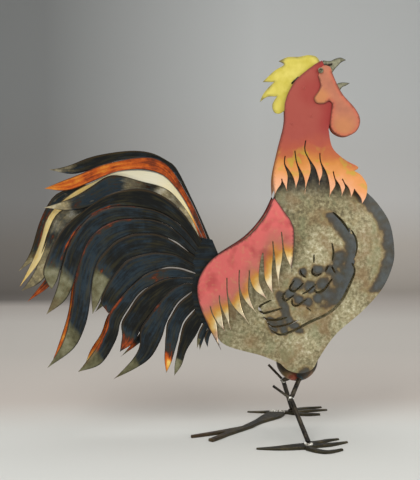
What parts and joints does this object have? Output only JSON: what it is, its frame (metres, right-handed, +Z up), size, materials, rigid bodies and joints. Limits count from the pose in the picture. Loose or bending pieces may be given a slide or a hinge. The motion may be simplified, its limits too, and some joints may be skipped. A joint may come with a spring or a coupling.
{
  "type": "sheet steel rooster sculpture",
  "caption": "Standing rooster of flame-cut, painted and heat-tinted sheet steel, with a fanned two-sheet tail, on two bar legs with flat cut feet.",
  "frame": {"origin": "on the floor, under the middle of the rooster's box", "axes": "+X towards the beak and breast, +Z up, the side with the carved wing to -Y"},
  "size_m": [0.6702, 0.3002, 0.658],
  "materials": {
    "speckled_painted_steel": "satin",
    "red_painted_steel": "satin",
    "coral_painted_steel": "satin",
    "salmon_painted_steel": "satin",
    "yellow_painted_steel": "satin",
    "horn_steel": "satin",
    "dark_weld_steel": "satin",
    "blued_steel": "satin",
    "heat_tinted_steel": "satin",
    "forge_brown_steel": "satin",
    "blackened_bar": "satin",
    "olive_brown_plate": "satin"
  },
  "bodies": {
    "root": {"body_side_near": "speckled_painted_steel", "body_side_far": "speckled_painted_steel", "neck_hackle_near": "red_painted_steel", "neck_hackle_far": "red_painted_steel", "saddle_near": "coral_painted_steel", "saddle_far": "coral_painted_steel", "face_wattle_near": "salmon_painted_steel", "face_wattle_far": "salmon_painted_steel", "comb": "yellow_painted_steel", "beak_upper": "horn_steel", "beak_lower": "horn_steel", "eye_near": "dark_weld_steel", "eye_far": "dark_weld_steel", "tail_sheet_near": "blued_steel", "tail_sheet_far": "heat_tinted_steel", "hip_bowl": "forge_brown_steel", "thigh_near": "blackened_bar", "thigh_far": "blackened_bar", "shank_near": "blackened_bar", "shank_far": "blackened_bar", "spur_near": "blackened_bar", "spur_far": "blackened_bar", "foot_near": "olive_brown_plate", "foot_far": "olive_brown_plate", "stay_foot": "olive_brown_plate"}
  },
  "joints": []
}
